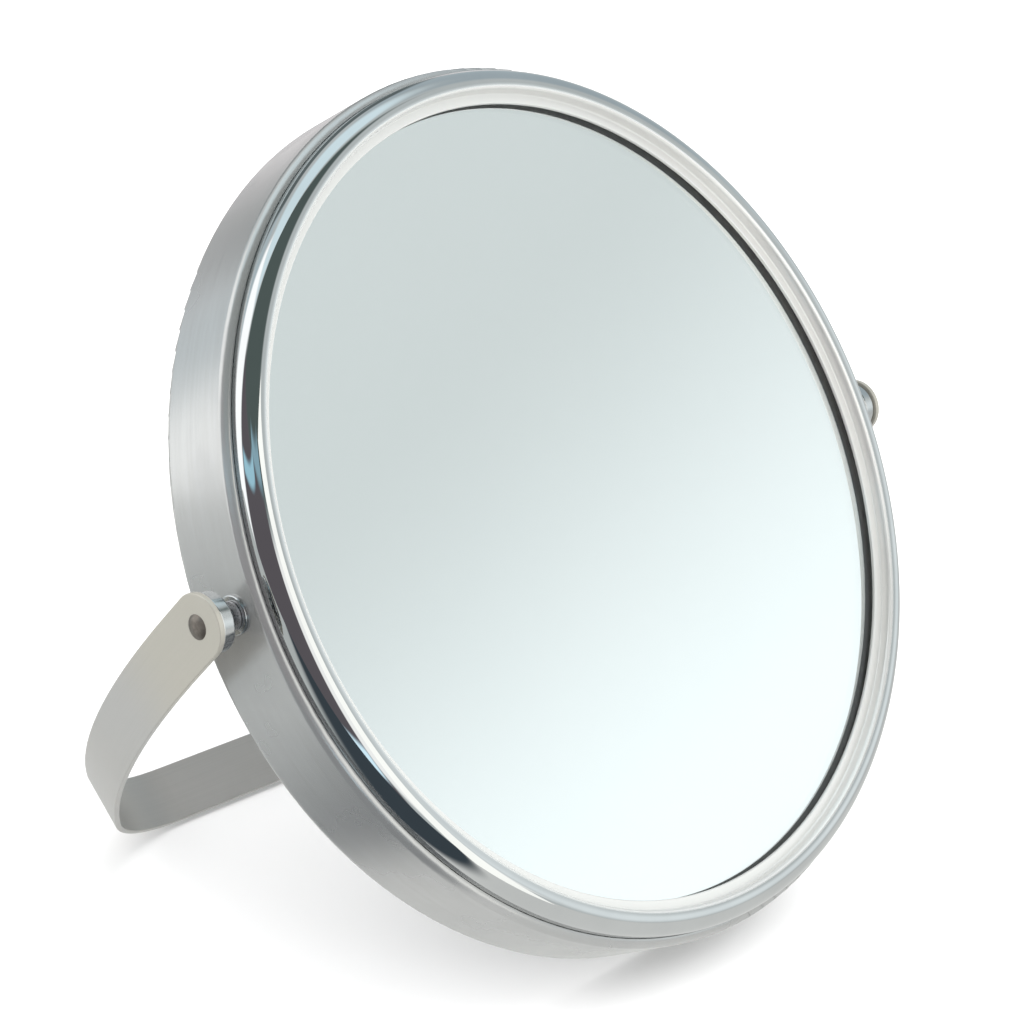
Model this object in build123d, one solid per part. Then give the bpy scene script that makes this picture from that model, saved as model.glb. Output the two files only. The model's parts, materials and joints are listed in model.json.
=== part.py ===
from build123d import *
import os
from math import acos, asin, atan2, cos, degrees, hypot, pi, radians, sin, sqrt

# Double-sided shaving mirror in a shallow drum on a fold-out strip stand, in millimetres.
# The row stands on z = 0 with the plain glass facing -Y and leaning back.
# +X is the pivot line, from the viewer's left to the viewer's right.

# ---------------------------------------------------------------- driving dimensions
LEAN = 33.9                 # how far the head leans back from upright, degrees

# head: the drum that holds both glasses. Its own frame has the pivot line along X,
# Z out of the plain glass, and z = 0 on the pivot line.
BAND_R = 90.0               # outside of the side band
WALL = 1.0                  # sheet the case is drawn from
BACK_Z = -11.5              # flat back face of the case
SHOULDER_Z = 7.25           # front face of the case's small shoulder
SHOULDER_ROUND = 1.65
BACK_ROUND = 1.8
SHOULDER_INNER_R = 88.25    # opening in the case that the front bezel comes through
SHOULDER_EDGE = 0.08        # rounding of that opening's edge
BACK_OPENING_R = 80.5       # opening in the case's back face
BACK_EDGE = 0.45            # rounding of that opening's edge

BEAD_R = 84.9               # circle that the centre of the bezel's bead runs on
BEAD_Z = 8.6
BEAD_RADIUS = 3.3
BEZEL_SHEET = 0.7
FLANK_ANGLE = 105.0         # where the bead turns down to its steep inner flank
FLANK_RADIUS = 1.0
LIP_Z = 9.1                 # outer end of the lip that lies on the glass
TIP_R = 81.2                # inner edge of the lip
TIP_Z = 9.03
TIP_ROUND = 0.28
COVE = 0.4                  # rounding between flank and lip
SKIRT_Z = 4.9               # lower end of the bezel's skirt
FOOT_R = 88.9               # snap foot on the skirt, under the shoulder
FOOT_EDGE = 0.5             # height of the foot's upright edge
FOOT_H = 1.0                # height of the whole foot

GLASS_R = 84.4
GLASS_T = 2.0
COAT_T = 0.1
FRONT_GLASS_Z = 6.25        # back of the plain glass
PAD_Z = 5.2                 # back of the foam pad
PAD_R = 84.0
CORE_Z = 4.2                # back of the core plate
CORE_R = 86.9
GASKET_T = 0.5
GASKET_INNER_R = 80.0
SEAT_GAP = 0.02             # play of the stack between glass, gasket and spacer
CURVE_R = 750.0             # radius of the magnifying glass's hollow face
SPACER_INNER_R = 81.0

# pivots
WASHER_T = 0.5
JOURNAL_R = 1.6
RUNNING_GAP = 0.05          # radial clearance of every shaft in its hole
TAIL_R = 1.25
BUSH_R = 3.0
BUSH_FLANGE_R = 3.7
BUSH_FLANGE_T = 0.6
BUSH_EDGE = 0.24
PLATE_X = 87.95             # inner face of the reinforcing plate
PLATE_OUTER_X = 88.8
PLATE_LENGTH = 12.0
PLATE_WIDTH = 6.6
PLATE_ROUND = 1.0
NUT_FLATS = 5.0
NUT_T = 2.0
TAIL_END_X = 84.8
TAIL_CHAMFER = 0.3
FRICTION_WASHER_R = 2.7
SPRING_WASHER_R = 2.75
SIDE_GAP = 0.1              # end float between parts that turn against each other
BOSS_R = 5.6
BOSS_T = 2.9
BOSS_EDGE = 0.45
JOURNAL_SINK = 1.0          # how far the journal runs into the boss
RIVET_R = 1.2
RIVET_HEAD_R = 2.35
RIVET_HEAD_H = 0.8
RIVET_DEPTH = 2.3           # how far the rivet reaches into the boss

# stand: one flat strip bent to a D
STRIP_T = 1.2
STRIP_W = 12.3
STRIP_X = 98.6              # outer face of the strip at the pivots
SEAT_DROP = 6.2             # flat stretch of each leg below the pivot, where the boss sits
LEG_R = 143.0               # outside radius of each leg's gentle bow
CORNER_R = 30.4             # outside radius of each lower corner
BAR_DROP = 97.2             # pivot line to the outer face of the bar
STRIP_EDGE = 0.25           # rounding of the strip's long edges

OVERRUN = 1.0               # how far a cutter runs past what it cuts
TINY = 0.01                 # two heights closer than this are the same

# ---------------------------------------------------------------- the standing pose
lean_rad = radians(LEAN)
# lowest point of the head is on the rounded back corner of the case
pivot_height = ((BAND_R - BACK_ROUND) * cos(lean_rad)
                - (BACK_Z + BACK_ROUND) * sin(lean_rad) + BACK_ROUND)
# the stand swings back until the lower edge of its bar is at the same height
bar_reach = hypot(BAR_DROP, STRIP_W / 2)
swing_rad = acos(pivot_height / bar_reach) + atan2(STRIP_W / 2, BAR_DROP)
# the box's middle in Y is brought over the origin
front_y = -(BEAD_R * sin(lean_rad) + BEAD_Z * cos(lean_rad) + BEAD_RADIUS)
back_y = BAR_DROP * sin(swing_rad) + STRIP_W / 2 * cos(swing_rad)
pivot_y = -(front_y + back_y) / 2
pivot_point = (0, pivot_y, pivot_height)

head_place = Location(pivot_point, (90 - LEAN, 0, 0))
stand_place = Location(pivot_point, (degrees(swing_rad), 0, 0))


# ---------------------------------------------------------------- shared shapes
def turned(section):
    """Turn a section drawn in the XZ plane, x as radius, round the Z axis."""
    return revolve(section, Axis.Z, 360)


def ring(inner_r, outer_r, z_low, z_high):
    """Flat ring or, with no inner radius, a disc."""
    body = Pos(0, 0, z_low) * extrude(Circle(outer_r), z_high - z_low)
    if inner_r > 0:
        body -= Pos(0, 0, z_low) * extrude(Circle(inner_r), z_high - z_low)
    return body


def x_rod(radius, x_low, x_high):
    """Cylinder along the pivot line."""
    return Location((x_low, 0, 0), (0, 90, 0)) * extrude(Circle(radius), x_high - x_low)


def other_side(body):
    """The same piece at the left pivot."""
    return mirror(body, Plane.YZ)


# ---------------------------------------------------------------- head
def case():
    outline = Polyline(
        (SHOULDER_INNER_R, SHOULDER_Z),
        (BAND_R, SHOULDER_Z),
        (BAND_R, BACK_Z),
        (BACK_OPENING_R, BACK_Z),
        (BACK_OPENING_R, BACK_Z + WALL),
        (BAND_R - WALL, BACK_Z + WALL),
        (BAND_R - WALL, SHOULDER_Z - WALL),
        (SHOULDER_INNER_R, SHOULDER_Z - WALL),
        close=True,
    )
    flat = make_face(outline)
    flat = fillet(corner(flat, BAND_R, SHOULDER_Z), SHOULDER_ROUND)
    flat = fillet(corner(flat, BAND_R, BACK_Z), BACK_ROUND)
    flat = fillet(corner(flat, BAND_R - WALL, BACK_Z + WALL), BACK_ROUND - WALL)
    flat = fillet(corner(flat, BACK_OPENING_R, BACK_Z), BACK_EDGE)
    flat = fillet(corner(flat, SHOULDER_INNER_R, SHOULDER_Z), SHOULDER_EDGE)
    body = turned(Plane.XZ * flat)
    hole = x_rod(BUSH_R + RUNNING_GAP, BAND_R - WALL - OVERRUN, BAND_R + OVERRUN)
    return body - hole - other_side(hole)


def corner(face, radius, height):
    """The face's corner nearest to a point of its section."""
    return min(face.vertices(), key=lambda v: hypot(v.X - radius, v.Y - height))


def arc_of(centre, radius, start, end):
    """Arc of a section, between two angles in degrees."""
    def at(angle):
        return (centre[0] + radius * cos(radians(angle)), centre[1] + radius * sin(radians(angle)))

    return ThreePointArc(at(start), at((start + end) / 2), at(end))


def front_bezel():
    bead = (BEAD_R, BEAD_Z)
    offset = BEAD_RADIUS - FLANK_RADIUS
    flank = (BEAD_R + offset * cos(radians(FLANK_ANGLE)), BEAD_Z + offset * sin(radians(FLANK_ANGLE)))
    skirt_out = BEAD_R + BEAD_RADIUS
    skirt_in = skirt_out - BEZEL_SHEET
    wall_r = flank[0] - FLANK_RADIUS
    outside = [
        Line((skirt_out, SKIRT_Z + FOOT_H), (skirt_out, BEAD_Z)),
        arc_of(bead, BEAD_RADIUS, 0, FLANK_ANGLE),
        arc_of(flank, FLANK_RADIUS, FLANK_ANGLE, 180),
        Polyline((wall_r, flank[1]), (wall_r, LIP_Z), (TIP_R, TIP_Z), (TIP_R, TIP_Z - BEZEL_SHEET)),
    ]
    inside = [
        Polyline((TIP_R, TIP_Z - BEZEL_SHEET), (wall_r + BEZEL_SHEET, TIP_Z - BEZEL_SHEET),
                 (wall_r + BEZEL_SHEET, flank[1])),
        arc_of(flank, FLANK_RADIUS - BEZEL_SHEET, 180, FLANK_ANGLE),
        arc_of(bead, BEAD_RADIUS - BEZEL_SHEET, FLANK_ANGLE, 0),
        Line((skirt_in, BEAD_Z), (skirt_in, SKIRT_Z)),
    ]
    foot = Polyline((skirt_in, SKIRT_Z), (FOOT_R, SKIRT_Z), (FOOT_R, SKIRT_Z + FOOT_EDGE),
                    (skirt_out, SKIRT_Z + FOOT_H))
    flat = make_face(outside + inside + [foot])
    flat = fillet(corner(flat, wall_r, LIP_Z), COVE)
    flat = fillet(corner(flat, TIP_R, TIP_Z), TIP_ROUND)
    return turned(Plane.XZ * flat)


def hollow_height(radius, lift):
    """Height of a sphere-shaped face at a radius; the hollow side faces the back."""
    rim_z = BACK_Z + WALL + GASKET_T
    centre_z = rim_z - sqrt(CURVE_R**2 - GLASS_R**2)
    return centre_z + sqrt((CURVE_R + lift)**2 - radius**2)


def dished_disc(radius, low, high):
    """Disc between two concentric sphere-shaped faces, low and high above the hollow face."""
    lower = ThreePointArc((0, hollow_height(0, low)), (radius / 2, hollow_height(radius / 2, low)),
                          (radius, hollow_height(radius, low)))
    upper = ThreePointArc((radius, hollow_height(radius, high)),
                          (radius / 2, hollow_height(radius / 2, high)),
                          (0, hollow_height(0, high)))
    edge = Line(lower @ 1, upper @ 0)
    axis = Line(upper @ 1, lower @ 0)
    return turned(Plane.XZ * make_face([lower, edge, upper, axis]))


def spacer_ring():
    seat_z = hollow_height(SPACER_INNER_R, GLASS_T + COAT_T) + SEAT_GAP
    return ring(SPACER_INNER_R, GLASS_R, seat_z, CORE_Z)


# ---------------------------------------------------------------- right-hand pivot
def pivot_bush():
    body = x_rod(BUSH_R, PLATE_X, BAND_R)
    body += x_rod(BUSH_FLANGE_R, BAND_R, BAND_R + BUSH_FLANGE_T)
    rim = body.faces().sort_by(Axis.X)[-1].edges()
    body = fillet(rim, BUSH_EDGE)
    return body - x_rod(JOURNAL_R + RUNNING_GAP, PLATE_X - OVERRUN, BAND_R + BUSH_FLANGE_T + OVERRUN)


def reinforcing_plate():
    thickness = PLATE_OUTER_X - PLATE_X
    block = Pos(PLATE_X + thickness / 2, 0, 0) * Box(thickness, PLATE_LENGTH, PLATE_WIDTH)
    block = fillet(block.edges().filter_by(Axis.X), PLATE_ROUND)
    return block - x_rod(BUSH_R + RUNNING_GAP, PLATE_X - OVERRUN, BAND_R)


def boss_inner_x():
    return STRIP_X - STRIP_T - BOSS_T


def pivot_stud():
    boss = x_rod(BOSS_R, boss_inner_x(), boss_inner_x() + BOSS_T)
    boss = fillet(boss.edges().filter_by(GeomType.CIRCLE), BOSS_EDGE)
    tail = x_rod(TAIL_R, TAIL_END_X, PLATE_X)
    tail = chamfer(tail.faces().sort_by(Axis.X)[0].edges(), TAIL_CHAMFER)
    body = boss + x_rod(JOURNAL_R, PLATE_X, boss_inner_x() + JOURNAL_SINK) + tail
    socket = x_rod(RIVET_R + RUNNING_GAP, boss_inner_x() + BOSS_T - RIVET_DEPTH, STRIP_X)
    return body - socket


def rivet():
    shank_start = boss_inner_x() + BOSS_T - RIVET_DEPTH + SIDE_GAP
    ball_r = (RIVET_HEAD_R**2 + RIVET_HEAD_H**2) / (2 * RIVET_HEAD_H)
    centre_x = STRIP_X + RIVET_HEAD_H - ball_r
    half_turn = asin(RIVET_HEAD_R / ball_r) / 2
    shank = Polyline((STRIP_X + RIVET_HEAD_H, 0), (shank_start, 0), (shank_start, RIVET_R),
                     (STRIP_X, RIVET_R), (STRIP_X, RIVET_HEAD_R))
    dome = ThreePointArc((STRIP_X, RIVET_HEAD_R),
                         (centre_x + ball_r * cos(half_turn), ball_r * sin(half_turn)),
                         (STRIP_X + RIVET_HEAD_H, 0))
    return revolve(make_face([shank, dome]), Axis.X, 360)


def washer(outer_r, hole_r, x_low, x_high):
    return x_rod(outer_r, x_low, x_high) - x_rod(hole_r, x_low - OVERRUN, x_high + OVERRUN)


def spring_washer():
    return washer(SPRING_WASHER_R, TAIL_R + RUNNING_GAP, PLATE_X - SIDE_GAP - WASHER_T, PLATE_X - SIDE_GAP)


def pivot_nut():
    x_high = PLATE_X - SIDE_GAP - WASHER_T
    hexagon = RegularPolygon(NUT_FLATS / 2, 6, major_radius=False)
    body = Location((x_high - NUT_T, 0, 0), (0, 90, 0)) * extrude(hexagon, NUT_T)
    return body - x_rod(TAIL_R + RUNNING_GAP, TAIL_END_X - OVERRUN, PLATE_X)


def friction_washer():
    x_low = BAND_R + BUSH_FLANGE_T + SIDE_GAP
    return washer(FRICTION_WASHER_R, JOURNAL_R + RUNNING_GAP, x_low, x_low + WASHER_T)


# ---------------------------------------------------------------- stand
def stand_region(inset):
    """Filled D, drawn in XZ with the pivots at z = 0; inset gives the strip's inner face."""
    leg_centre_x = LEG_R - STRIP_X
    corner_z = CORNER_R - BAR_DROP
    drop = -SEAT_DROP - corner_z
    corner_x = leg_centre_x - sqrt((LEG_R - CORNER_R)**2 - drop**2)
    meet = pi + asin(drop / (LEG_R - CORNER_R))
    side_x = STRIP_X - inset

    def leg_point(angle):
        reach = LEG_R - inset
        return (leg_centre_x + reach * cos(angle), reach * sin(angle) - SEAT_DROP)

    def corner_point(angle):
        reach = CORNER_R - inset
        return (corner_x + reach * cos(angle), corner_z + reach * sin(angle))

    top_z = STRIP_W / 2 + inset
    side = Line((-side_x, top_z), (-side_x, -SEAT_DROP))
    leg = ThreePointArc(leg_point(pi), leg_point((pi + meet) / 2), leg_point(meet))
    bend = ThreePointArc(corner_point(meet), corner_point((meet + 1.5 * pi) / 2),
                         corner_point(1.5 * pi))
    bar = Line(corner_point(1.5 * pi), (0, inset - BAR_DROP))
    closing = Polyline((0, inset - BAR_DROP), (0, top_z), (-side_x, top_z))
    left = make_face([side, leg, bend, bar, closing])
    return left + mirror(left, Plane.YZ)


def stand_strip():
    flat = stand_region(0) - stand_region(STRIP_T)
    body = extrude(Plane.XZ * flat, STRIP_W / 2, both=True)
    # both ends are rounded about the pivot line
    reach = 2 * BAR_DROP
    span = 4 * STRIP_X
    blank = Plane.YZ * (Circle(STRIP_W / 2) + Pos(0, -reach / 2) * Rectangle(STRIP_W, reach))
    body &= extrude(blank, span / 2, both=True)
    rims = [edge for edge in body.edges() if abs(abs(edge.center().Y) - STRIP_W / 2) < TINY]
    body = fillet(rims, STRIP_EDGE)
    hole = x_rod(RIVET_R + RUNNING_GAP, STRIP_X - STRIP_T - OVERRUN, STRIP_X + OVERRUN)
    return body - hole - other_side(hole)


# ---------------------------------------------------------------- nodes
def both_sides(make):
    right = make()
    return {"right": right, "left": other_side(right)}


def pair(make):
    """Two identical fasteners in one node, as separate solids."""
    right = make()
    return Compound(children=[right, other_side(right)])


head = {
    "case": case(),
    "front_bezel": front_bezel(),
    "front_glass": ring(0, GLASS_R, FRONT_GLASS_Z, FRONT_GLASS_Z + GLASS_T),
    "front_silvering": ring(0, GLASS_R, FRONT_GLASS_Z - COAT_T, FRONT_GLASS_Z),
    "foam_pad": ring(0, PAD_R, PAD_Z, FRONT_GLASS_Z - COAT_T),
    "core_plate": ring(0, CORE_R, CORE_Z, PAD_Z),
    "spacer_ring": spacer_ring(),
    "magnifying_silvering": dished_disc(GLASS_R, GLASS_T, GLASS_T + COAT_T),
    "magnifying_glass": dished_disc(GLASS_R, 0, GLASS_T),
    "back_gasket": ring(GASKET_INNER_R, GLASS_R, BACK_Z + WALL, BACK_Z + WALL + GASKET_T - SEAT_GAP),
}
stand = {
    "stand_strip": stand_strip(),
    "rivets": pair(rivet),
    "friction_washers": pair(friction_washer),
    "spring_washers": pair(spring_washer),
    "pivot_nuts": pair(pivot_nut),
}
for side_name, body in both_sides(pivot_bush).items():
    head["pivot_bush_" + side_name] = body
for side_name, body in both_sides(reinforcing_plate).items():
    head["reinforcing_plate_" + side_name] = body
for side_name, body in both_sides(pivot_stud).items():
    stand["pivot_stud_" + side_name] = body

os.makedirs("parts", exist_ok=True)
for place, pieces in ((head_place, head), (stand_place, stand)):
    for node, body in pieces.items():
        export_step(place * body, "parts/" + node + ".step")

print("pivot", [round(v, 3) for v in pivot_point], "swing", round(degrees(swing_rad), 3))
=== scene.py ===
import bpy
import json
import math
from mathutils import Matrix, Quaternion, Vector


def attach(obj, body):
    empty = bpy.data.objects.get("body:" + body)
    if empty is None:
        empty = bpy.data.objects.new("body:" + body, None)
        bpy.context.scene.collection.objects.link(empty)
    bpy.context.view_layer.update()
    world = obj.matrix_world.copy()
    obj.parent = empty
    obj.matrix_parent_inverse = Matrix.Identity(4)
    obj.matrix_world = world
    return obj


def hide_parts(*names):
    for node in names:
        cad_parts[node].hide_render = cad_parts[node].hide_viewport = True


# Shaving mirror on a swinging strip stand, seen from the left and a little above.
# Lengths are in metres, except the sections of the turned pieces, in millimetres.
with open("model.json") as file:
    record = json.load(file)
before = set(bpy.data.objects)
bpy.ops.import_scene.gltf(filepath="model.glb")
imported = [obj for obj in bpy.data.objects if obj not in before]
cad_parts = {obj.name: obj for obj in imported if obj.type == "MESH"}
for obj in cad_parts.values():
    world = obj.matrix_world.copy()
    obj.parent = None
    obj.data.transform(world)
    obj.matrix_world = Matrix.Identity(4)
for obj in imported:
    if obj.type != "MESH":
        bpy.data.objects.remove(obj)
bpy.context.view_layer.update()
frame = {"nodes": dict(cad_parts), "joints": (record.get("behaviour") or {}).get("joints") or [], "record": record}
nodes = frame["nodes"]
record = frame["record"]
slot_of = {part["node"]: part["material_slot"] for part in record["subparts"]}
scene = bpy.context.scene

MM = 0.001
DEGREES = 180 / math.pi                         # degrees in a radian

# ------------------------------------------------------------ the head's and the stand's own frames
pivot = Vector(frame["joints"][0]["pos_m"])     # middle of the line that the stand swings about
lying = next(mount for mount in record["mounts"] if mount["name"] == "lying_face")
front = -Vector(lying["axis"])                  # out of the plain glass
turn_to_head = math.acos(front.z)               # about the pivot line, from upright Z to front
to_head = Matrix.Rotation(-turn_to_head, 3, "X")
from_head = to_head.transposed()


def stand_lean():
    """Angle about the pivot line from straight down to the stand's far edge."""
    edge_depth = 0.4 * MM
    corners = [vertex.co - pivot for vertex in nodes["stand_strip"].data.vertices]
    reach = max(corner.yz.length for corner in corners)
    far = [corner for corner in corners if corner.yz.length > reach - edge_depth]
    return math.atan2(sum(corner.y for corner in far), -sum(corner.z for corner in far))


stand_turn = stand_lean()


# ------------------------------------------------------------ node helpers
class Graph:
    """Short names for building a node tree."""

    def __init__(self, tree):
        self.tree = tree

    def add(self, kind, **settings):
        node = self.tree.nodes.new(kind)
        for name, value in settings.items():
            setattr(node, name, value)
        return node

    def put(self, socket, value):
        if isinstance(value, bpy.types.NodeSocket):
            self.tree.links.new(value, socket)
        else:
            socket.default_value = value

    def math(self, operation, *values):
        node = self.add("ShaderNodeMath", operation=operation)
        for i, value in enumerate(values):
            self.put(node.inputs[i], value)
        return node.outputs[0]

    def vector(self, operation, *values):
        node = self.add("ShaderNodeVectorMath", operation=operation)
        for i, value in enumerate(values):
            self.put(node.inputs[i], value)
        return node.outputs[0]

    def ramp(self, value, low, high, out_low=0.0, out_high=1.0):
        node = self.add("ShaderNodeMapRange", interpolation_type="SMOOTHSTEP")
        for i, v in enumerate((value, low, high, out_low, out_high)):
            self.put(node.inputs[i], v)
        return node.outputs[0]

    def mix(self, factor, a, b):
        node = self.add("ShaderNodeMix", data_type="RGBA")
        self.put(node.inputs[0], factor)
        self.put(node.inputs[6], a)
        self.put(node.inputs[7], b)
        return node.outputs[2]

    def split(self, vector):
        node = self.add("ShaderNodeSeparateXYZ")
        self.put(node.inputs[0], vector)
        return node.outputs

    def join(self, x, y, z):
        node = self.add("ShaderNodeCombineXYZ")
        for socket, value in zip(node.inputs, (x, y, z)):
            self.put(socket, value)
        return node.outputs[0]

    def distance(self, a, b):
        """Length of the flat vector (a, b)."""
        return self.math("SQRT", self.math("ADD", self.math("MULTIPLY", a, a),
                                           self.math("MULTIPLY", b, b)))

    def noise(self, vector, scale, detail=4.0, roughness=0.55, distortion=0.0):
        node = self.add("ShaderNodeTexNoise")
        self.put(node.inputs["Vector"], vector)
        self.put(node.inputs["Scale"], scale)
        self.put(node.inputs["Detail"], detail)
        self.put(node.inputs["Roughness"], roughness)
        self.put(node.inputs["Distortion"], distortion)
        return node.outputs["Fac"]

    def bump(self, height, strength, distance, normal=None):
        node = self.add("ShaderNodeBump")
        self.put(node.inputs["Height"], height)
        self.put(node.inputs["Strength"], strength)
        self.put(node.inputs["Distance"], distance)
        if normal is not None:
            self.put(node.inputs["Normal"], normal)
        return node.outputs[0]

    def object_point(self):
        return self.add("ShaderNodeTexCoord").outputs["Object"]

    def turned_point(self, turn):
        """Place from the pivot, turned back about the pivot line by an angle in radians."""
        offset = self.vector("SUBTRACT", self.object_point(), tuple(pivot))
        node = self.add("ShaderNodeVectorRotate", rotation_type="X_AXIS")
        self.put(node.inputs["Vector"], offset)
        self.put(node.inputs["Angle"], -turn)
        return node.outputs[0]

    def head_point(self):
        """Place in the head's own frame: X along the pivot line, Z out of the plain glass."""
        return self.turned_point(turn_to_head)


def linear(r, g, b):
    """Display colour, 0 to 255, as linear light: the usual screen curve."""
    def one(c):
        c = c / 255
        return c / 12.92 if c <= 0.04045 else ((c + 0.055) / 1.055) ** 2.4
    return (one(r), one(g), one(b), 1.0)


def new_material(name, shader_kind="ShaderNodeBsdfPrincipled"):
    """A material with one shader; gives back its graph and the shader's sockets too."""
    material = bpy.data.materials.new(name)
    material.use_nodes = True
    tree = material.node_tree
    tree.nodes.clear()
    graph = Graph(tree)
    shader = graph.add(shader_kind)
    output = graph.add("ShaderNodeOutputMaterial")
    tree.links.new(shader.outputs[0], output.inputs["Surface"])
    return material, graph, shader.inputs


# ------------------------------------------------------------ materials
# Noise scales are in cells to a metre. The low and high arguments are roughness limits.
CHROME = (0.62, 0.632, 0.636, 1.0)              # how much light chrome plate gives back
CHROME_DULL = (0.58, 0.592, 0.596, 1.0)         # in its less bright patches, on the bezel
WORN = 0.93                                     # the same for the small pieces, as a share
SATIN = (0.70, 0.70, 0.68, 1.0)                 # the bezel's pressed inner flank and lip
LINE_SCALE = 900.0                              # lines round the head, across their direction
LINE_SCALE_ROUND = 3.0                          # and along it, to a radian
FLANK_START = (83.7 * MM, 84.3 * MM)            # radii where satin turns into polish
STRIP_LINE_SCALE = 3500.0                       # the strip's lines, across their direction
STRIP_LINE_LENGTH = 30.0                        # and along it
WARM_END = (-34.0 * MM, -12.0 * MM)             # heights along the stand where its tint sets in
GLASS_IOR = 1.5


def round_lines(graph):
    """Fine lines that run round the head, as a height from 0 to 1."""
    x, y, z = graph.split(graph.head_point())
    place = graph.join(graph.math("MULTIPLY", graph.distance(x, y), LINE_SCALE),
                       graph.math("MULTIPLY", graph.math("ARCTAN2", y, x), LINE_SCALE_ROUND),
                       graph.math("MULTIPLY", z, LINE_SCALE))
    return graph.noise(place, 1.0, 3.0)


def chrome(name, low, high):
    """Chrome plate: faint tone and roughness changes, and a trace of unevenness."""
    material, graph, sockets = new_material(name)
    point = graph.object_point()
    patches = graph.noise(point, 45.0, 5.0, 0.6)
    specks = graph.noise(point, 1400.0, 2.0)
    worn = tuple(c * WORN for c in CHROME[:3]) + (1.0,)
    graph.put(sockets["Base Color"], graph.mix(graph.ramp(patches, 0.35, 0.7), CHROME, worn))
    sockets["Metallic"].default_value = 1.0
    mixed = graph.math("ADD", graph.math("MULTIPLY", patches, 0.75),
                       graph.math("MULTIPLY", specks, 0.25))
    graph.put(sockets["Roughness"], graph.ramp(mixed, 0.35, 0.65, low, high))
    height = graph.math("ADD", graph.math("MULTIPLY", graph.noise(point, 160.0, 2.0), 0.6),
                        graph.math("MULTIPLY", specks, 0.05))
    graph.put(sockets["Normal"], graph.bump(height, 0.05, 0.0002))
    return material


def satin_case(name):
    """Satin plate on the drum's side: soft cloudy tone with faint lines that run round it."""
    material, graph, sockets = new_material(name)
    point = graph.object_point()
    cloud = graph.noise(point, 30.0, 4.0, 0.6)
    lines = round_lines(graph)
    tone = graph.mix(graph.ramp(cloud, 0.3, 0.7), (0.50, 0.505, 0.50, 1.0), (0.45, 0.455, 0.455, 1.0))
    graph.put(sockets["Base Color"], graph.mix(graph.ramp(lines, 0.3, 0.7, 0.0, 0.4), tone,
                                               (0.44, 0.44, 0.43, 1.0)))
    sockets["Metallic"].default_value = 0.75
    graph.put(sockets["Roughness"], graph.ramp(cloud, 0.3, 0.7, 0.22, 0.30))
    graph.put(sockets["Normal"], graph.bump(graph.noise(point, 12.0, 1.0), 0.02, 0.0004))
    return material


def bezel_chrome(name):
    """Polished bead; the pressed inner flank and lip are left satin."""
    material, graph, sockets = new_material(name)
    point = graph.object_point()
    x, y, z = graph.split(graph.head_point())
    polished = graph.ramp(graph.distance(x, y), *FLANK_START)
    patches = graph.noise(point, 45.0, 5.0, 0.6)
    haze = graph.ramp(patches, 0.35, 0.65, 0.02, 0.045)
    colour = graph.mix(graph.ramp(patches, 0.35, 0.7), CHROME, CHROME_DULL)
    graph.put(sockets["Base Color"], graph.mix(polished, SATIN, colour))
    graph.put(sockets["Metallic"], graph.ramp(polished, 0.0, 1.0, 0.5, 1.0))
    satin = graph.math("MULTIPLY", graph.math("SUBTRACT", 1.0, polished), 0.26)
    rough = graph.math("ADD", satin, haze)
    graph.put(sockets["Roughness"], rough)
    graph.put(sockets["Normal"], graph.bump(graph.noise(point, 160.0, 2.0), 0.03, 0.0002))
    return material


def brushed_strip(name):
    """Satin plated strip: drawing lines along its length, and a warmer tint near the pivots."""
    material, graph, sockets = new_material(name)
    point = graph.object_point()
    x, across, height = graph.split(graph.turned_point(stand_turn))
    lines = graph.noise(graph.join(graph.math("MULTIPLY", x, STRIP_LINE_LENGTH),
                                   graph.math("MULTIPLY", across, STRIP_LINE_SCALE),
                                   graph.math("MULTIPLY", height, STRIP_LINE_LENGTH)), 1.0, 4.0, 0.6)
    broad = graph.noise(point, 28.0, 3.0)
    tone = graph.mix(graph.ramp(lines, 0.3, 0.7), (0.365, 0.362, 0.35, 1.0), (0.385, 0.38, 0.368, 1.0))
    tone = graph.mix(graph.ramp(broad, 0.4, 0.7, 0.0, 0.3), tone, (0.37, 0.355, 0.32, 1.0))
    warm = graph.ramp(height, *WARM_END, 0.0, 0.45)
    graph.put(sockets["Base Color"], graph.mix(warm, tone, (0.42, 0.395, 0.315, 1.0)))
    sockets["Metallic"].default_value = 0.4
    graph.put(sockets["Roughness"], graph.ramp(lines, 0.3, 0.7, 0.30, 0.34))
    graph.put(sockets["Normal"], graph.bump(lines, 0.012, 0.00002,
                                            graph.bump(broad, 0.05, 0.0004)))
    return material


def plated_steel(name, light, dark, low, high):
    """Small turned or stamped steel piece."""
    material, graph, sockets = new_material(name)
    point = graph.object_point()
    grain = graph.noise(point, 300.0, 5.0, 0.65)
    fine = graph.noise(point, 2700.0, 2.0)
    graph.put(sockets["Base Color"], graph.mix(graph.ramp(grain, 0.35, 0.7), light, dark))
    sockets["Metallic"].default_value = 0.7
    graph.put(sockets["Roughness"], graph.ramp(fine, 0.3, 0.7, low, high))
    graph.put(sockets["Normal"], graph.bump(fine, 0.1, 0.00004))
    return material


def glass(name):
    """Clear float glass with a hardly visible smear."""
    material, graph, sockets = new_material(name)
    point = graph.object_point()
    smear = graph.noise(point, 12.0, 4.0, 0.6, 0.6)
    graph.put(sockets["Base Color"], graph.mix(smear, (0.985, 0.996, 0.994, 1.0),
                                               (0.978, 0.993, 0.990, 1.0)))
    sockets["Metallic"].default_value = 0.0
    graph.put(sockets["Roughness"], graph.ramp(smear, 0.45, 0.8, 0.0, 0.012))
    sockets["IOR"].default_value = GLASS_IOR
    sockets["Transmission Weight"].default_value = 1.0
    return material


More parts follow.
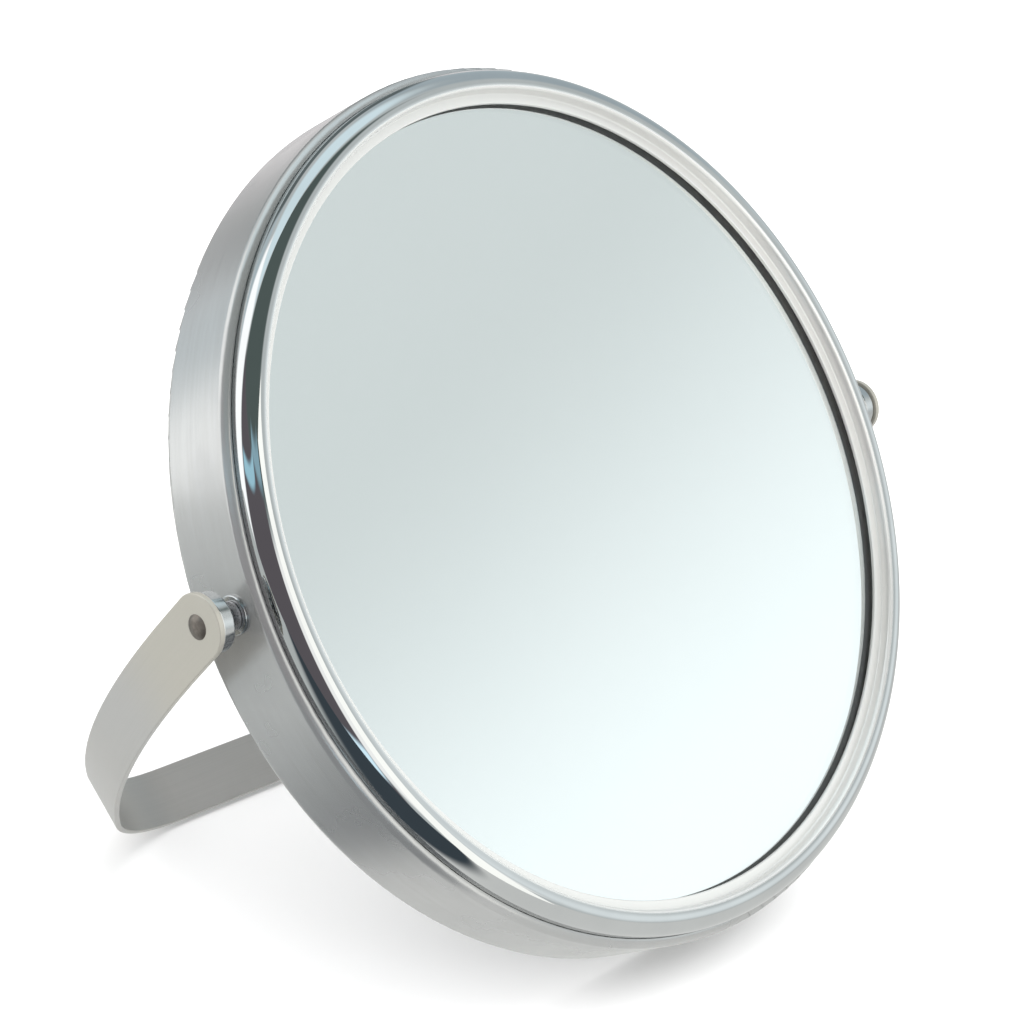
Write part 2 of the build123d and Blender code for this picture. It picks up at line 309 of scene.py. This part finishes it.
def silver(name):
    """The mirror coat behind each glass."""
    material, graph, sockets = new_material(name)
    point = graph.object_point()
    cloud = graph.noise(point, 20.0, 3.0)
    graph.put(sockets["Base Color"], graph.mix(cloud, (0.955, 0.965, 0.965, 1.0),
                                               (0.94, 0.955, 0.955, 1.0)))
    sockets["Metallic"].default_value = 1.0
    graph.put(sockets["Roughness"], graph.ramp(cloud, 0.3, 0.8, 0.0, 0.01))
    return material


def dull(name, light, dark, roughness, scale, depth):
    """Foam, fibre board, moulded plastic or soft vinyl."""
    material, graph, sockets = new_material(name)
    point = graph.object_point()
    cells = graph.noise(point, scale, 6.0, 0.7)
    graph.put(sockets["Base Color"], graph.mix(graph.ramp(cells, 0.3, 0.7), dark, light))
    graph.put(sockets["Roughness"], graph.ramp(cells, 0.2, 0.8, roughness, roughness + 0.15))
    graph.put(sockets["Normal"], graph.bump(cells, 0.4, depth))
    return material


finishes = {
    "case": satin_case("case_satin_chrome"),
    "bezel": bezel_chrome("bezel_chrome"),
    "clear_glass": glass("float_glass"),
    "silvering": silver("silver_coat"),
    "foam": dull("closed_cell_foam", linear(70, 70, 72), linear(44, 44, 46), 0.8, 900.0, 0.0003),
    "board": dull("fibre_board", linear(176, 148, 112), linear(138, 110, 78), 0.75, 500.0, 0.0002),
    "spacer": dull("moulded_plastic", linear(72, 72, 75), linear(58, 58, 61), 0.5, 700.0, 0.00005),
    "gasket": dull("soft_vinyl", linear(38, 38, 39), linear(26, 26, 27), 0.45, 600.0, 0.00005),
    "bush": chrome("bush_chrome", 0.08, 0.14),
    "plate": plated_steel("zinc_plate", linear(190, 190, 192), linear(160, 160, 164), 0.3, 0.45),
    "strip": brushed_strip("satin_strip"),
    "rivet": plated_steel("rivet_steel", linear(126, 120, 113), linear(92, 86, 80), 0.28, 0.42),
    "stud": chrome("stud_chrome", 0.12, 0.18),
    "washer": plated_steel("washer_steel", linear(180, 180, 182), linear(150, 150, 153), 0.25, 0.4),
    "spring_steel": plated_steel("spring_steel", linear(130, 130, 134), linear(96, 96, 100), 0.3, 0.5),
    "nut": plated_steel("nut_zinc", linear(196, 192, 170), linear(170, 164, 138), 0.25, 0.4),
}
SHARP = 28.0                                    # faces that meet at more than this keep a sharp edge
for name, node in nodes.items():
    for slot in node.material_slots:
        slot.material = finishes[slot_of[name]]
    node.data.polygons.foreach_set("use_smooth", [True] * len(node.data.polygons))
    node.data.set_sharp_from_angle(angle=math.radians(SHARP))
    node.modifiers.new("flat_faces_stay_flat", "WEIGHTED_NORMAL").keep_sharp = True


# ------------------------------------------------------------ round pieces, turned much finer
# Sections are in millimetres: radius from the head's axis, height above the pivot line.
BEAD = (84.9, 8.6)                              # centre of the bead's section
BEAD_RADIUS = 3.3
FLANK_ANGLE = 105.0                             # where the bead turns down to its inner flank
FLANK_RADIUS = 1.0
SHEET = 0.7                                     # thickness of the pressed sheet
COVE = (82.885, 9.485)                          # rounding between flank and lip
COVE_RADIUS = 0.4
TIP = (81.48, 8.754)                            # rounded inner edge of the lip
TIP_RADIUS = 0.28
LIP_UNDERSIDE = 8.33
FOOT = ((88.2, 5.9), (88.9, 5.4), (88.9, 4.9))  # snaps under the case's shoulder
STEPS = 720                                     # round the head
ARC_STEP = 3.0                                  # degrees, along the section
DISC_RINGS = 24                                 # from the middle of a glass to its rim
ON_EDGE = 0.1 * MM                              # corners this near the rim or the axis are on it
COAT_GAP = 0.02 * MM                            # keeps the coat's face off the glass's own face


def arc(centre, radius, start, end):
    """Places on a circle from one angle to another, in degrees, with both ends."""
    count = max(2, round(abs(end - start) / ARC_STEP))
    places = []
    for i in range(count + 1):
        angle = math.radians(start + (end - start) * i / count)
        places.append((centre[0] + radius * math.cos(angle), centre[1] + radius * math.sin(angle)))
    return places


def bezel_outline():
    """Section of the bezel: bead, inner flank and lip, then back along the inside to the foot."""
    offset = BEAD_RADIUS - FLANK_RADIUS
    flank = (BEAD[0] + offset * math.cos(math.radians(FLANK_ANGLE)),
             BEAD[1] + offset * math.sin(math.radians(FLANK_ANGLE)))
    inside = BEAD[0] + BEAD_RADIUS - SHEET
    wall = flank[0] - FLANK_RADIUS + SHEET
    outline = arc(BEAD, BEAD_RADIUS, 0, FLANK_ANGLE)
    outline += arc(flank, FLANK_RADIUS, FLANK_ANGLE, 180)[1:]
    outline += arc(COVE, COVE_RADIUS, 0, -88)
    outline += arc(TIP, TIP_RADIUS, 91, 180)
    outline += [(TIP[0] - TIP_RADIUS, LIP_UNDERSIDE), (wall, LIP_UNDERSIDE), (wall, flank[1])]
    outline += arc(BEAD, BEAD_RADIUS - SHEET, FLANK_ANGLE, 0)
    outline += [(inside, FOOT[2][1]), FOOT[2], FOOT[1], FOOT[0]]
    return outline


def turned(name, outline, node_name):
    """Turn a closed outline of (radius, height), in millimetres, round the head's axis."""
    points = []
    faces = []
    index = {}
    for j, (radius, z) in enumerate(outline):
        for i in range(STEPS if radius > 0 else 1):     # a corner on the axis is one vertex
            angle = 2 * math.pi * i / STEPS
            place = Vector((radius * math.cos(angle), radius * math.sin(angle), z)) * MM
            index[i, j] = len(points)
            points.append(pivot + from_head @ place)

    def corner(i, j):
        j = j % len(outline)
        return index[i % STEPS if outline[j][0] > 0 else 0, j]

    for i in range(STEPS):
        for j in range(len(outline)):
            around = (corner(i, j), corner(i + 1, j), corner(i + 1, j + 1), corner(i, j + 1))
            face = list(dict.fromkeys(around))
            if len(face) > 2:
                faces.append(face)
    mesh = bpy.data.meshes.new(name)
    mesh.from_pydata([tuple(p) for p in points], [], faces)
    mesh.update()
    made = bpy.data.objects.new(name, mesh)
    scene.collection.objects.link(made)
    mesh.materials.append(finishes[slot_of[node_name]])
    mesh.polygons.foreach_set("use_smooth", [True] * len(mesh.polygons))
    mesh.set_sharp_from_angle(angle=math.radians(SHARP))
    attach(made, "head")
    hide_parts(node_name)


def disc_outline(node_name, low_shift=0.0, high_shift=0.0):
    """A glass or its coat: flat or sphere-shaped faces, read off the frame's own corners."""
    corners = [to_head @ (v.co - pivot) for v in nodes[node_name].data.vertices]
    places = [(math.hypot(c.x, c.y), c.z) for c in corners]
    radius = max(r for r, z in places)
    rim = [z for r, z in places if r > radius - ON_EDGE]
    middle = [z for r, z in places if r < ON_EDGE] or rim
    outline = []
    for pick, shift in ((min, low_shift), (max, high_shift)):
        edge = pick(rim) + shift
        sag = edge - shift - pick(middle)
        face = []
        for i in range(DISC_RINGS + 1):
            share = i / DISC_RINGS
            face.append((radius * share / MM, (edge - sag * (1 - share ** 2)) / MM))
        outline += face if pick is min else face[::-1]
    return outline


turned("fine_front_bezel", bezel_outline(), "front_bezel")
turned("fine_front_glass", disc_outline("front_glass"), "front_glass")
turned("fine_front_silvering", disc_outline("front_silvering", high_shift=-COAT_GAP), "front_silvering")
turned("fine_magnifying_glass", disc_outline("magnifying_glass"), "magnifying_glass")
turned("fine_magnifying_silvering", disc_outline("magnifying_silvering", low_shift=COAT_GAP),
       "magnifying_silvering")


# ------------------------------------------------------------ studio
FLOOR_RADIUS = 7.0
FLOOR_DROP = 0.2 * MM                           # under the mirror's lowest point
TABLE_RADIUS = 0.75
TABLE_DROP = 0.4 * MM
FLOOR_RINGS = 24
DOME_RADIUS = 1.6
DOME_RINGS = 48
ROUND_STEPS = 96                                # round the floor, the table and the dome
GLOW = 1.6                                      # makes up for what chrome plate swallows
SOFT_LIGHT = 1.6
STRIPE_END = 4.0                                # degrees over which a stripe fades at its ends
TABLE_EDGE = (-92.0 * MM, -74.0 * MM)           # X: left of it the table isn't pale
BEHIND = (-20.0 * MM, 40.0 * MM)                # Y: there the place beside it turns from dark to grey
TO_THE_RIGHT = (0.0, 350.0 * MM)                # X: there the pale table darkens a little
CARD_X = (-75.0 * MM, 10.0 * MM)                # the white card, in the head's own frame
CARD_Y = (-250.0 * MM, 70.0 * MM)
CARD_Z = 160.0 * MM


def mesh_object(name, points, faces, material):
    """A piece of the studio, not of the mirror."""
    mesh = bpy.data.meshes.new(name)
    mesh.from_pydata(points, [], faces)
    mesh.update()
    made = bpy.data.objects.new(name, mesh)
    scene.collection.objects.link(made)
    mesh.materials.append(material)
    return made


def disc(name, drop, radius, material):
    """A level disc under the mirror."""
    points = [(0.0, 0.0, -drop)]
    faces = []
    for i in range(1, FLOOR_RINGS + 1):
        reach = radius * i / FLOOR_RINGS
        for j in range(ROUND_STEPS):
            turn = 2 * math.pi * j / ROUND_STEPS
            points.append((reach * math.cos(turn), reach * math.sin(turn), -drop))
    for j in range(ROUND_STEPS):
        faces.append((0, 1 + j, 1 + (j + 1) % ROUND_STEPS))
    for i in range(FLOOR_RINGS - 1):
        for j in range(ROUND_STEPS):
            a = 1 + i * ROUND_STEPS + j
            b = 1 + i * ROUND_STEPS + (j + 1) % ROUND_STEPS
            faces.append((a, a + ROUND_STEPS, b + ROUND_STEPS, b))
    return mesh_object(name, points, faces, material)


def dome(name, radius, material):
    """A whole sphere round the mirror."""
    points = []
    faces = []
    for i in range(DOME_RINGS + 1):
        rise = math.pi * (i / DOME_RINGS - 0.5)
        for j in range(ROUND_STEPS):
            turn = 2 * math.pi * j / ROUND_STEPS
            points.append((radius * math.cos(rise) * math.cos(turn),
                           radius * math.cos(rise) * math.sin(turn), radius * math.sin(rise)))
    for i in range(DOME_RINGS):
        for j in range(ROUND_STEPS):
            a = i * ROUND_STEPS + j
            b = i * ROUND_STEPS + (j + 1) % ROUND_STEPS
            faces.append((a, b, b + ROUND_STEPS, a + ROUND_STEPS))
    made = mesh_object(name, points, faces, material)
    made.data.polygons.foreach_set("use_smooth", [True] * len(made.data.polygons))
    return made


def glow_material(name):
    """Shines by itself."""
    return new_material(name, "ShaderNodeEmission")


def reflections_only(made):
    """Leave a piece to be seen in the chrome and the glasses; the camera doesn't see it."""
    made.visible_camera = False
    made.visible_diffuse = False
    made.visible_shadow = False
    made.visible_volume_scatter = False


# floor: plain and pale
floor_material, graph, sockets = new_material("pale_floor")
grain = graph.noise(graph.object_point(), 6.0, 3.0)
graph.put(sockets["Base Color"], graph.mix(grain, (0.90, 0.90, 0.90, 1.0), (0.92, 0.92, 0.92, 1.0)))
sockets["Roughness"].default_value = 0.9
sockets["Specular IOR Level"].default_value = 0.1
floor = disc("floor", FLOOR_DROP, FLOOR_RADIUS, floor_material)
floor.visible_glossy = False
floor.visible_transmission = False

# the table's top, seen only in reflections: pale, with a dark place beside its left edge
table_material, graph, sockets = glow_material("table_glow")
x, y, z = graph.split(graph.object_point())
on_table = graph.ramp(x, *TABLE_EDGE)
behind = graph.ramp(y, *BEHIND)
beside = graph.mix(behind, linear(54, 62, 68), linear(170, 174, 173))
right = graph.ramp(x, *TO_THE_RIGHT)
tone = graph.mix(right, linear(190, 191, 189), linear(176, 178, 177))
graph.put(sockets["Color"], graph.mix(on_table, beside, tone))
sockets["Strength"].default_value = GLOW
table = disc("table_reflection", TABLE_DROP, TABLE_RADIUS, table_material)
reflections_only(table)

# the room round the mirror, seen only in reflections and estimated from those in the photograph;
# azimuth 0 is in front, along -Y, and 90 is on the right, along X
studio_material, graph, sockets = glow_material("studio_glow")
x, y, z = graph.split(graph.object_point())
toward = graph.math("MULTIPLY", y, -1.0)
azimuth = graph.math("MULTIPLY", graph.math("ARCTAN2", x, toward), DEGREES)
height = graph.math("MULTIPLY", graph.math("ARCTAN2", z, graph.distance(x, y)), DEGREES)


def panel(under, azimuths, heights, soft, colour):
    """Lay a soft-edged panel over what is already there; angles in degrees."""
    masks = []
    for value, (low, high) in ((azimuth, azimuths), (height, heights)):
        middle = (low + high) / 2
        half = (high - low) / 2
        if value is azimuth:
            away = graph.math("WRAP", graph.math("SUBTRACT", value, middle), 180.0, -180.0)
        else:
            away = graph.math("SUBTRACT", value, middle)
        masks.append(graph.ramp(graph.math("ABSOLUTE", away), half + soft, half - soft))
    return graph.mix(graph.math("MULTIPLY", *masks), under, colour)


def stripe(under, azimuths, rise, start, half, colour):
    """A narrow band that climbs from a height of start by rise for each degree of azimuth."""
    low, high = azimuths
    climb = graph.math("MULTIPLY", graph.math("SUBTRACT", azimuth, low), rise)
    line = graph.math("ADD", climb, start)
    away = graph.math("ABSOLUTE", graph.math("SUBTRACT", height, line))
    along = graph.math("ABSOLUTE", graph.math("SUBTRACT", azimuth, (low + high) / 2))
    reach = (high - low) / 2
    mask = graph.math("MULTIPLY", graph.ramp(away, half * 1.5, half * 0.5),
                      graph.ramp(along, reach + STRIPE_END, reach - STRIPE_END))
    return graph.mix(mask, under, colour)


glow = linear(174, 179, 179)                                                  # plain wall
glow = panel(glow, (70, 146), (20, 54), 8.0, linear(152, 163, 168))           # darker wall on the right
glow = panel(glow, (70, 236), (57, 92), 6.0, linear(202, 219, 225))           # ceiling behind
glow = panel(glow, (132, 184), (-40, 14), 5.0, linear(206, 202, 203))         # pale low wall behind
glow = panel(glow, (138, 182), (8, 40), 4.0, linear(86, 94, 95))              # dark opening behind
glow = panel(glow, (182, 206), (-60, 42), 5.0, linear(164, 176, 181))         # wall next to it
glow = panel(glow, (-160, -123), (-24, 58), 4.0, linear(254, 255, 255))       # window
glow = panel(glow, (26, 84), (2, 24), 8.0, linear(212, 218, 219))             # pale band on the right
glow = panel(glow, (-118, 62), (45, 92), 4.0, linear(76, 86, 84))             # dark over the front
glow = panel(glow, (-122, -18), (-92, 49), 3.0, linear(86, 82, 86))           # camera's side, dark
glow = panel(glow, (-122, -18), (-92, -18), 8.0, linear(50, 60, 67))          # darker low down
glow = stripe(glow, (-118, -22), 0.5, -42.0, 4.2, linear(208, 234, 246))      # bright low line
glow = stripe(glow, (-118, -62), 0.5, 20.0, 3.0, linear(150, 190, 205))       # fainter line above it
glow = panel(glow, (-62, -10), (49, 55), 2.0, linear(130, 160, 172))          # light over the dark
glow = panel(glow, (-20, 24), (6, 42), 3.0, linear(236, 236, 234))            # bright panel in front
graph.put(sockets["Color"], glow)
sockets["Strength"].default_value = GLOW
studio = dome("studio_reflection", DOME_RADIUS, studio_material)
reflections_only(studio)

# a white card over the head's near half: the bezel's far inner flank looks up at it, and so does a
# thin line of the near bead, but not the glass as the camera sees it
card_material, graph, sockets = glow_material("card_glow")
shade = graph.noise(graph.object_point(), 8.0, 2.0)
graph.put(sockets["Color"], graph.mix(shade, linear(250, 250, 244), linear(255, 255, 251)))
sockets["Strength"].default_value = GLOW
card_corners = [pivot + from_head @ Vector((x, y, CARD_Z))
                for x, y in ((CARD_X[0], CARD_Y[0]), (CARD_X[1], CARD_Y[0]),
                             (CARD_X[1], CARD_Y[1]), (CARD_X[0], CARD_Y[1]))]
card = mesh_object("white_card", [tuple(c) for c in card_corners], [(0, 1, 2, 3)], card_material)
reflections_only(card)

# plain soft light for the floor and the dull pieces
world = bpy.data.worlds.new("soft_light")
scene.world = world
world.use_nodes = True
background = world.node_tree.nodes["Background"]
background.inputs["Color"].default_value = (1.0, 1.0, 1.0, 1.0)
background.inputs["Strength"].default_value = SOFT_LIGHT


def area_light(name, place, size, power):
    """A round soft light, aimed at the mirror; reflections don't show it."""
    light = bpy.data.lights.new(name, "AREA")
    light.shape = "DISK"
    light.size = size
    light.energy = power
    made = bpy.data.objects.new(name, light)
    made.location = place
    made.rotation_euler = (-Vector(place)).to_track_quat("-Z", "Y").to_euler()
    made.visible_glossy = False
    made.visible_transmission = False
    made.visible_camera = False
    scene.collection.objects.link(made)


area_light("soft_key", (0.9, -0.7, 1.3), 1.2, 9.0)
area_light("soft_fill", (-1.2, 0.4, 1.1), 1.4, 5.0)

# ------------------------------------------------------------ camera
EYE = Vector((-0.3663, -0.29903, 0.19266))      # from the pivot line's middle
AIM = Vector((-0.00861, 0.0081, -0.00303))
ROLL = 5.72
LENS = 89.24                                    # lens and sensor in millimetres
SENSOR = 36.0
camera_data = bpy.data.cameras.new("camera")
camera_data.sensor_width = SENSOR
camera_data.lens = LENS
camera_data.clip_start = 0.01
camera = bpy.data.objects.new("camera", camera_data)
scene.collection.objects.link(camera)
camera.location = pivot + EYE
look = (AIM - EYE).to_track_quat("-Z", "Y")
camera.rotation_mode = "QUATERNION"
camera.rotation_quaternion = look @ Quaternion((0, 0, 1), math.radians(ROLL))
scene.camera = camera
scene.view_settings.view_transform = "Standard"
